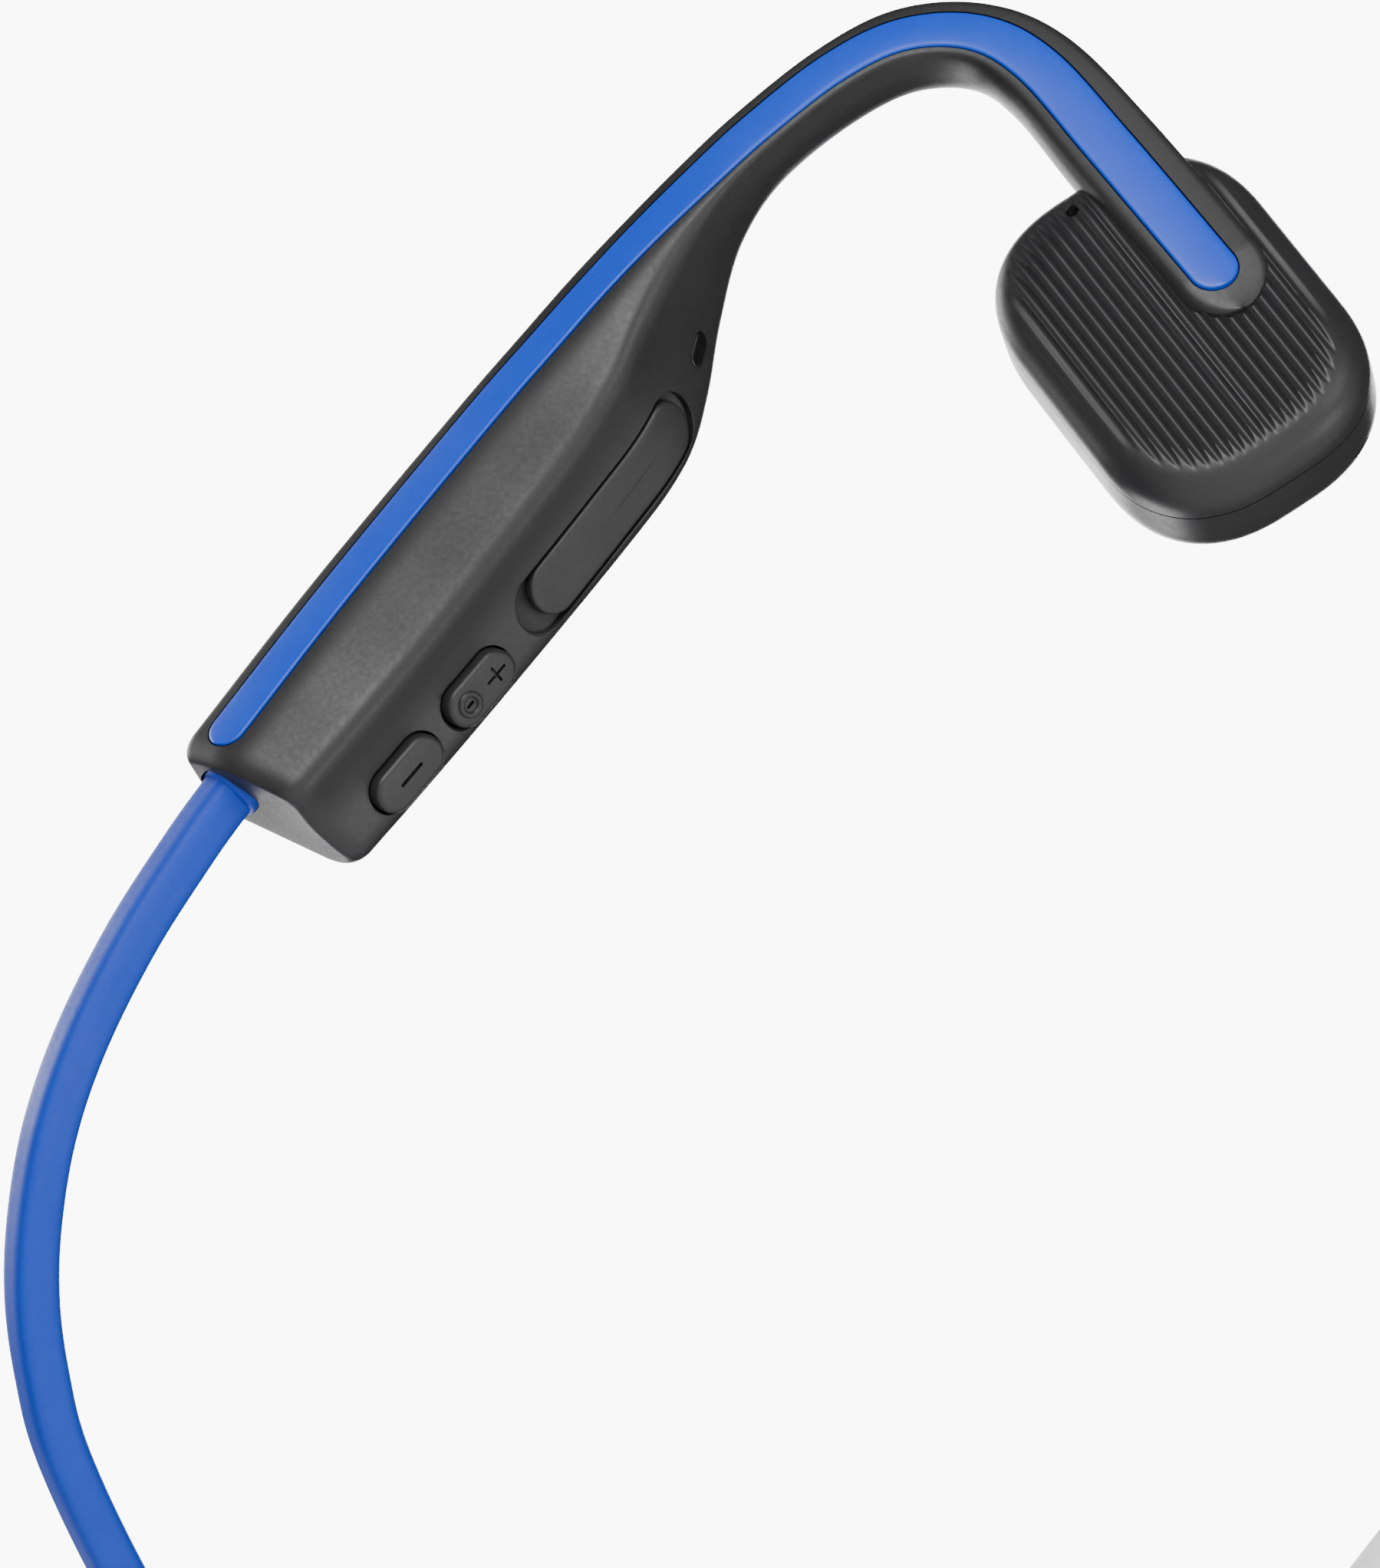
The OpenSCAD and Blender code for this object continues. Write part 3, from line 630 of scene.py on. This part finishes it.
def buttons(mats):
    plus_along, power_along = 1.55, -1.6
    plus = [mark(PLUS_Y, plus_along, 0.24, 2.1), mark(PLUS_Y, plus_along, 0.24, 1.5, True),
            mark(PLUS_Y, power_along, 0.3, 0.8)]
    ring = ring_mark(PLUS_Y, power_along, 0.82, 0.27)
    button(PLUS_Y, "plus_power_cap", "plus_power_button", "plus_power", plus, ring, mats)
    minus = [mark(MINUS_Y, 0, 0.3, 2.5)]
    button(MINUS_Y, "minus_cap", "minus_button", "minus", minus, None, mats)


def port_lid(mats):
    """The long lid over the charging socket."""
    length = PORT_HINGE - PORT_FIRST
    profile = [(0.1, -PORT_THICK), (0, -PORT_THICK + 0.15), (0, -0.2)]
    profile += edge_round(0.28, PORT_PROUD)
    profile += [(inset, PORT_PROUD) for inset in (0.7, 1.2, 1.7, 2.1)]
    obj = stamp("port_lid", profile, oval(length, PORT_W, 60),
                along_ledge(PORT_FIRST, PORT_HINGE, PORT_SHARE))
    put(obj, from_pod, 1, "port", mats["keys"], ["port_cover"])


def light_lens(mats):
    """The status light's dark lens."""
    profile = [(0, -1.3), (0, -0.04), (0.06, -0.01), (0.2, 0.01), (0.4, 0.02), (0.6, 0.02)]
    place = along_ledge(LIGHT_Y, LIGHT_Y, PORT_SHARE)
    obj = stamp("light_lens", profile, oval(LIGHT_L, LIGHT_W), place)
    put(obj, from_pod, 1, "right_side", mats["light"], ["status_light"])


def socket_tongue(mats):
    """The contact tongue in the charging socket."""
    profile = [(0, -5.7), (0, -2.6)] + edge_round(0.15, -2.4)
    outline = rounded_square(0.35, 3.3, 0.12, 3)
    place = on_ledge(SOCKET_Y, PORT_SHARE)
    rings = [place(outline * [1 - inset, 1 - inset * 0.15] + SOCKET_OFF, h)
             for inset, h in profile]
    obj = loft("socket_tongue", rings)
    put(obj, from_pod, 1, "right_side", mats["chips"])


# ---------- transducer ----------

RIM_SPAN = 4.8
RIM_POWER = 2.5
RIB_PITCH = 0.94
RIB_LOW = 3.46
RIB_RISE = 0.38
RIB_DROP = 0.95
RIB_BLEND = 0.05
FIRST_STEP = 0.012
STEP_GROWTH = 1.9
RIB_FADE_FROM = -11
RIB_FADE = 10
BACK_START = -2.6
BACK_ROUND = 5.4
BACK_POWER = 0.8
SLIT_AT = (-3.95, 6.5)
SLIT_HALF = (0.2, 0.95)
SLIT_CORNER = 0.18
SLIT_ENDS = (-17.0, -13.6)


def case_outline(inset=0.0, arc=24):
    """Outline of the case, moved in by an inset: y and z."""
    half_w, half_l = CASE_W / 2 - inset, CASE_L / 2 - inset
    r = min(CASE_CORNER - 0.5 * inset, half_w - 0.02)
    turn = np.linspace(0, math.pi / 2, arc)
    x = np.cos(turn) ** (2 / CASE_POWER) * r + half_w - r
    z = np.sin(turn) ** (2 / CASE_POWER) * r + half_l - r
    quarter = np.stack([x, z], 1)
    back = quarter[::-1]
    return np.vstack([quarter, back * [-1, 1], quarter * [-1, -1], back * [1, -1]])


def over_corner(v, half):
    """How far a place has gone round a corner of the case: 0 at its start, 1 at its end."""
    return np.clip((np.abs(v) - (half - CASE_CORNER)) / CASE_CORNER, 0, 1)


def case_inset(y, z):
    """How far inside the case's outline a point of its face lies."""
    qy, qz = over_corner(y, CASE_W / 2), over_corner(z, CASE_L / 2)
    return CASE_CORNER * (1 - (qy**CASE_POWER + qz**CASE_POWER) ** (1 / CASE_POWER))


def half_length(y):
    """Half the case's length, at a distance across it."""
    q = over_corner(y, CASE_W / 2)
    return CASE_L / 2 - CASE_CORNER * (1 - (1 - q**CASE_POWER) ** (1 / CASE_POWER))


def cushion(d):
    """Height of the smooth face at an inset: steep at the rim, then nearly flat."""
    share = np.clip(d / RIM_SPAN, 0, 1)
    return FACE_TOP * (1 - (1 - share) ** RIM_POWER) ** (1 / RIM_POWER)


def ribbed(y, z):
    """The smooth face with shallow concave grooves cut straight along the arm.
    They follow the face down towards its rim, except at the end away from the arm."""
    inset = np.clip(case_inset(y, z), 0, None)
    face = cushion(inset)
    t = (y / RIB_PITCH) % 1 - 0.5
    along = np.clip((z - RIB_FADE_FROM) / RIB_FADE, 0, 1)
    near_rim = np.clip(1 - inset / RIM_SPAN, 0, 1) ** 2
    drop = RIB_DROP * near_rim * along * along * (3 - 2 * along)
    groove = RIB_LOW - drop + RIB_RISE * (2 * t) ** 2
    h = np.clip(0.5 + 0.5 * (groove - face) / RIB_BLEND, 0, 1)
    return groove * (1 - h) + face * h - RIB_BLEND * h * (1 - h)


def graded(half, fine):
    """Positions from -half to half, closer together near the ends."""
    near = half - FIRST_STEP * np.arange(1, 18) ** STEP_GROWTH
    count = max(3, int(2 * near[-1] / fine))
    middle = np.linspace(-near[-1], near[-1], count)[1:-1]
    return np.concatenate([[-half], -near, middle, near[::-1], [half]])


def face_grid():
    """Points over the case's ribbed face, in rows across it."""
    ys = graded(CASE_W / 2, RIB_PITCH / 10)
    along = graded(CASE_L / 2, 0.3) / (CASE_L / 2)
    y = np.repeat(ys[:, None], len(along), 1)
    z = along[None, :] * half_length(ys)[:, None]
    return np.stack([ribbed(y, z), y, z], 2)


def closed_below(grid, low):
    """Points and faces of a solid between a grid of points and a flat floor."""
    n, m = grid.shape[:2]
    index = np.arange(n * m).reshape(n, m)
    quads = np.stack([index[:-1, :-1], index[1:, :-1], index[1:, 1:], index[:-1, 1:]], 2)
    faces = [tuple(f) for f in quads.reshape(-1, 4).tolist()]
    border = np.concatenate([index[:, 0], index[-1, 1:], index[-2::-1, -1], index[0, -2:0:-1]])
    top = grid.reshape(-1, 3)
    floor = top[border].copy()
    floor[:, 0] = low
    base, count = n * m, len(border)
    for k in range(count):
        a, b = int(border[k]), int(border[(k + 1) % count])
        faces.append((b, a, base + k, base + (k + 1) % count))
    faces.append(tuple(range(base + count - 1, base - 1, -1)))
    return np.vstack([top, floor]), faces


def transducer_cover(side, word, mats):
    """The ribbed face: the right one has the microphone's hole, the left one the button's."""
    points, faces = closed_below(face_grid(), SEAM_X + SEAM_GAP / 2)
    obj = solid(word + "_transducer_face", points, faces)
    boolean(obj, [mic_hole() if side > 0 else multi_hole()])
    put(obj, from_case, side, word + "_side", mats["case"],
        [word + "_transducer_cover"], sharp=50)


def in_case(y, z):
    """Places plan points, across and along the arm, at a height out of the face."""
    def place(plan, height):
        return np.stack([np.full(len(plan), float(height)), plan[:, 0] + y, plan[:, 1] + z], 1)
    return place


def mic_hole():
    """Round opening in front of the microphone."""
    profile = [(0, 1.4), (0, 3.3), (-0.04, 3.5), (-0.2, 4.2)]
    return stamp("hole", profile, oval(MIC_D, MIC_D - 0.001), in_case(*MIC_AT))


def multi_hole():
    """Well for the multifunction button, deep enough for its travel."""
    profile = [(0, MULTI_LOW - 0.65), (0, 3.5), (-0.12, 3.9), (-0.5, 4.6)]
    return stamp("hole", profile, oval(MULTI_L + 2 * GAP, MULTI_W + 2 * GAP),
                 in_case(*MULTI_AT))


def multi_button(mats):
    """The multifunction button's cap, on the left."""
    profile = [(0, MULTI_LOW), (0, MULTI_TOP - 0.5)] + edge_round(0.42, MULTI_TOP, 8)
    profile += [(1.2, MULTI_TOP), (1.8, MULTI_TOP - 0.04), (2.4, MULTI_TOP - 0.07)]
    obj = stamp("multifunction_cap", profile, oval(MULTI_L, MULTI_W), in_case(*MULTI_AT))
    put(obj, from_case, -1, "multifunction", mats["keys"], ["multifunction_button"])


def flat_ring(outline, x):
    """An outline in a transducer's frame, at a depth."""
    return np.stack([np.full(len(outline), x), outline[:, 0], outline[:, 1]], 1)


def sound_slit():
    """Tool that cuts the sound slit in the end of the back shell."""
    slit = rounded_square(*SLIT_HALF, SLIT_CORNER, 4) + SLIT_AT
    return loft("slit", [np.stack([slit[:, 0], slit[:, 1], np.full(len(slit), z)], 1)
                         for z in SLIT_ENDS])


def back_shell(side, word, mats):
    """The rounded half of the case on the head's side."""
    high = SEAM_X - SEAM_GAP / 2
    profile = [(0.0, high), (0.0, high - 0.8), (0.0, BACK_START + 0.4)]
    for turn in np.linspace(0.02, 1.0, 24) * (math.pi / 2):
        inset = BACK_ROUND * (1 - math.cos(turn) ** BACK_POWER)
        depth = BACK_START + (BACK_LOW - BACK_START) * math.sin(turn) ** BACK_POWER
        profile.append((inset, depth))
    profile += [(inset, BACK_LOW) for inset in (7.0, 9.0, 10.6)]
    rings = [flat_ring(case_outline(inset), x) for inset, x in profile]
    obj = boolean(loft(word + "_transducer_back", rings), [sound_slit()])
    put(obj, from_case, side, word + "_side", mats["case"], [word + "_back_shell"])


def contact_pad(side, word, mats):
    """The soft pad that touches the skin."""
    profile = [(0.0, -7.0), (0.0, -7.9)] + [(i, -h) for i, h in edge_round(0.5, PAD_LOW)]
    profile += [(inset, -PAD_LOW) for inset in (2.0, 4.0, 6.0)]
    rings = []
    for inset, x in profile:
        corner = max(PAD_CORNER - inset, 0.3)
        outline = rounded_square(PAD_W / 2 - inset, PAD_L / 2 - inset, corner)
        rings.append(flat_ring(outline, x))
    obj = loft(word + "_skin_pad", rings)
    put(obj, from_case, side, word + "_side", mats["pad"], [word + "_contact_pad"])


# ---------- band ----------


def band_path():
    """The band's line from the right housing to the left one."""
    rows = smooth_rows([[a * HALF_WIDTH, b * BAND_DEPTH] for a, b in BAND_POINTS], 0.5)
    return np.vstack([rows, rows[-2::-1] * [-1, 1]])


def band_piece(name, outline, material, nodes, trim=0):
    """One piece of the band from side to side."""
    path = band_path()
    path = path[trim:len(path) - trim]
    heading = np.gradient(path, axis=0)
    heading /= np.linalg.norm(heading, axis=1)[:, None]
    c, s = math.cos(BAND_TWIST), math.sin(BAND_TWIST)
    out = outline[:, 0] * c - outline[:, 1] * s
    up = outline[:, 0] * s + outline[:, 1] * c
    rings = [np.stack([p[0] - out * h[1], p[1] + out * h[0], up], 1)
             for p, h in zip(path, heading)]
    obj = loft(name, rings)
    finish(obj, from_stand(coordinates(obj.data), 1), material, 40)
    start, end = (from_stand(np.array([[x, -BAND_DEPTH, 0.0]]), 1)[0]
                  for x in (BEND_HALF, -BEND_HALF))
    tuple(start)
    tuple(end)
    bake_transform(obj)
    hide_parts(*nodes)


def round_outline(x, y, d):
    """A circle as an outline across the band."""
    turn = np.linspace(0, 2 * math.pi, 17)[:-1]
    return np.stack([x + d / 2 * np.cos(turn), y + d / 2 * np.sin(turn)], 1)


def band(mats):
    both = ("right", "left")
    sleeve = rounded_square(BAND_SIZE / 2, BAND_SIZE / 2, BAND_CORNER, 10)
    band_piece("neckband_sleeve", sleeve, mats["sleeve"],
               [w + "_band_sleeve" for w in both])
    band_piece("neckband_spring", round_outline(0, 0.8, WIRE_D), mats["spring_steel"],
               [w + "_band_spring" for w in both], 2)
    band_piece("neckband_cable", round_outline(0.1, -0.9, CABLE_D), mats["cable"],
               [w + "_band_cable" for w in both], 2)


# ---------- materials ----------


def linear(r, g, b):
    """Linear colour of an sRGB triple of 0 to 255."""
    out = []
    for v in (r / 255, g / 255, b / 255):
        out.append(v / 12.92 if v <= 0.04045 else ((v + 0.055) / 1.055) ** 2.4)
    return (*out, 1)


PLASTIC_IOR = 1.46
GLOSS_SPREAD = 0.08
TINT = 0.06
MOTTLE_SCALE = 60.0
DUST_SHARE = 0.18
GRAIN_DEPTH = 0.00005


def noise(tree, where, scale, detail):
    """Noise over the object's own space."""
    node = tree.nodes.new("ShaderNodeTexNoise")
    node.inputs["Scale"].default_value = scale
    node.inputs["Detail"].default_value = detail
    tree.links.new(where.outputs["Object"], node.inputs["Vector"])
    return node


def spread_over(tree, source, low, high):
    """The middle range of a noise, spread over a range of values."""
    node = tree.nodes.new("ShaderNodeMapRange")
    node.inputs["From Min"].default_value = 0.3
    node.inputs["From Max"].default_value = 0.7
    node.inputs["To Min"].default_value = low
    node.inputs["To Max"].default_value = high
    tree.links.new(source.outputs["Fac"], node.inputs["Value"])
    return node


def vary_gloss(tree, shader, slow, fine, rough):
    gloss = spread_over(tree, slow, rough - GLOSS_SPREAD, rough + GLOSS_SPREAD)
    speck = spread_over(tree, fine, -GLOSS_SPREAD / 2, GLOSS_SPREAD / 2)
    both = tree.nodes.new("ShaderNodeMath")
    tree.links.new(gloss.outputs["Result"], both.inputs[0])
    tree.links.new(speck.outputs["Result"], both.inputs[1])
    tree.links.new(both.outputs["Value"], shader.inputs["Roughness"])


def vary_colour(tree, shader, dust, colour):
    paint = tree.nodes.new("ShaderNodeMix")
    paint.data_type = "RGBA"
    paint.inputs["A"].default_value = [c * (1 - TINT) for c in colour[:3]] + [1]
    paint.inputs["B"].default_value = [min(1, c * (1 + TINT)) for c in colour[:3]] + [1]
    tree.links.new(dust.outputs["Fac"], paint.inputs["Factor"])
    tree.links.new(paint.outputs["Result"], shader.inputs["Base Color"])


def add_grain(tree, shader, fine, bump):
    relief = tree.nodes.new("ShaderNodeBump")
    relief.inputs["Strength"].default_value = bump
    relief.inputs["Distance"].default_value = GRAIN_DEPTH
    tree.links.new(fine.outputs["Fac"], relief.inputs["Height"])
    tree.links.new(relief.outputs["Normal"], shader.inputs["Normal"])


def surface(name, colour, rough, grain=2500.0, bump=0.05, metal=0.0, coat=0.0):
    """A procedural finish: slow mottling of colour and gloss, and a fine moulded grain."""
    mat = bpy.data.materials.new(name)
    mat.use_nodes = True
    tree = mat.node_tree
    shader = tree.nodes["Principled BSDF"]
    shader.inputs["Metallic"].default_value = metal
    shader.inputs["IOR"].default_value = PLASTIC_IOR
    shader.inputs["Coat Weight"].default_value = coat
    shader.inputs["Coat Roughness"].default_value = 0.25
    where = tree.nodes.new("ShaderNodeTexCoord")
    fine = noise(tree, where, grain, 2)
    vary_gloss(tree, shader, noise(tree, where, MOTTLE_SCALE, 3), fine, rough)
    vary_colour(tree, shader, noise(tree, where, grain * DUST_SHARE, 4), colour)
    add_grain(tree, shader, fine, bump)
    return mat


def make_materials():
    """Every finish, by the name of its material slot. The case is the housing's, glossier."""
    return {
        "housing": surface("satin_housing", linear(38, 38, 39), 0.44),
        "case": surface("satin_case", linear(38, 38, 39), 0.4),
        "accent": surface("satin_blue", linear(16, 70, 205), 0.36, bump=0.03),
        "sleeve": surface("blue_silicone", linear(4, 56, 180), 0.56, bump=0.04),
        "keys": surface("rubber_keys", linear(38, 38, 39), 0.46),
        "pad": surface("dark_silicone", linear(38, 38, 40), 0.58, bump=0.08),
        "cable": surface("black_jacket", linear(20, 20, 21), 0.55),
        "spring_steel": surface("spring_steel", linear(176, 178, 182), 0.3, metal=1, grain=900),
        "magnet": surface("nickel_magnet", linear(168, 169, 172), 0.28, metal=1, grain=700),
        "copper": surface("wound_copper", linear(190, 112, 62), 0.38, metal=1, grain=5200,
                          bump=0.3),
        "tin": surface("tinned_steel", linear(188, 188, 190), 0.34, metal=1, grain=1100),
        "board": surface("solder_mask", linear(10, 78, 42), 0.35, coat=0.4, grain=1500),
        "chips": surface("moulded_chip", linear(24, 24, 25), 0.6, bump=0.15),
        "light": surface("smoked_lens", linear(10, 10, 11), 0.3, bump=0.01),
        "pouch": surface("foil_pouch", linear(180, 182, 186), 0.42, metal=0.7, bump=0.4,
                         grain=400),
    }


def repaint_frame(mats):
    """Gives each CAD node that stays the finish of its own material slot."""
    for part in frame["record"]["subparts"]:
        node = frame["nodes"][part["node"]]
        material = mats[part["material_slot"]]
        node.data.materials.clear()
        node.data.materials.append(material)


# ---------- stage, light and camera ----------


def sheet_at(name, centre, half, colour, glow):
    """A flat square of the stage, which may glow."""
    mat = bpy.data.materials.new(name)
    mat.use_nodes = True
    shader = mat.node_tree.nodes["Principled BSDF"]
    shader.inputs["Base Color"].default_value = colour
    shader.inputs["Roughness"].default_value = 0.9
    shader.inputs["Emission Color"].default_value = (1, 1, 1, 1)
    shader.inputs["Emission Strength"].default_value = glow
    mesh = bpy.data.meshes.new(name)
    corners = [(centre[0] + a * half, centre[1] + b * half, centre[2])
               for a, b in ((-1, -1), (1, -1), (1, 1), (-1, 1))]
    mesh.from_pydata(corners, [], [(0, 1, 2, 3)])
    mesh.materials.append(mat)
    obj = bpy.data.objects.new(name, mesh)
    bpy.context.scene.collection.objects.link(obj)


CAMERA_AT = Vector((0.37729, 0.038, -0.49534))
CAMERA_AZIMUTH = math.radians(5.152)
CAMERA_ELEVATION = math.radians(-57.263)
CAMERA_ROLL = math.radians(-34.59)
CAMERA_LENS = 179.65


def camera_axes():
    """The camera's right, up and back directions."""
    level = Vector((-math.sin(CAMERA_AZIMUTH), math.cos(CAMERA_AZIMUTH), 0))
    back = Vector((math.cos(CAMERA_ELEVATION) * math.cos(CAMERA_AZIMUTH),
                   math.cos(CAMERA_ELEVATION) * math.sin(CAMERA_AZIMUTH),
                   math.sin(CAMERA_ELEVATION)))
    right = level * math.cos(CAMERA_ROLL) + back.cross(level) * math.sin(CAMERA_ROLL)
    return right, back.cross(right), back


def add_camera():
    """The photograph's own view, from below and outside the right ear."""
    data = bpy.data.cameras.new("camera")
    data.sensor_width = 36
    data.lens = CAMERA_LENS
    data.clip_start = 0.01
    data.clip_end = 20
    obj = bpy.data.objects.new("camera", data)
    bpy.context.scene.collection.objects.link(obj)
    turn = Matrix(camera_axes()).transposed().to_4x4()
    obj.matrix_world = Matrix.Translation(CAMERA_AT) @ turn
    bpy.context.scene.camera = obj


LIT_SPOT = Vector((0.05, 0, 0.02))
WORLD_LIGHT = 0.11

# Soft lights that face the headset: name, place, diameter, power
LIGHTS = [
    ("key", (1.0, 0.3, -0.25), 0.7, 10),
    ("below", (-0.15, 0.5, -0.7), 0.4, 1.2),
    ("front", (0.5, 0.9, -0.6), 0.5, 2.2),
    ("top", (0.4, -0.7, 1.1), 0.9, 17),
    ("behind", (-0.7, -0.9, 0.4), 0.6, 6),
]


def softbox(name, at, size, power):
    data = bpy.data.lights.new(name, "AREA")
    data.shape = "DISK"
    data.size = size
    data.energy = power
    obj = bpy.data.objects.new(name, data)
    bpy.context.scene.collection.objects.link(obj)
    obj.location = at
    obj.rotation_euler = (Vector(at) - LIT_SPOT).to_track_quat("Z", "Y").to_euler()


def add_lights():
    world = bpy.data.worlds.new("studio")
    bpy.context.scene.world = world
    world.use_nodes = True
    sky = world.node_tree.nodes["Background"]
    sky.inputs["Color"].default_value = (1, 1, 1, 1)
    sky.inputs["Strength"].default_value = WORLD_LIGHT
    for light in LIGHTS:
        softbox(*light)


# ---------- the whole headset ----------

finishes = make_materials()
repaint_frame(finishes)
both_sides = (body_shell, inner_cover, accent, end_collar, transducer_cover, back_shell,
              contact_pad)
one_side = (buttons, port_lid, light_lens, socket_tongue, multi_button, band)
for hand, hand_word in ((1, "right"), (-1, "left")):
    for make in both_sides:
        make(hand, hand_word, finishes)
for make in one_side:
    make(finishes)

# The view looks up from the floor, past the headset, at the backdrop
sheet_at("pale_floor", (0, 0, -0.8), 5, (0.66, 0.66, 0.66, 1), 0.0)
sheet_at("pale_backdrop", (-1.35, -0.12, 2.2), 1.1, (0.9, 0.9, 0.9, 1), 9.0)
add_camera()
add_lights()
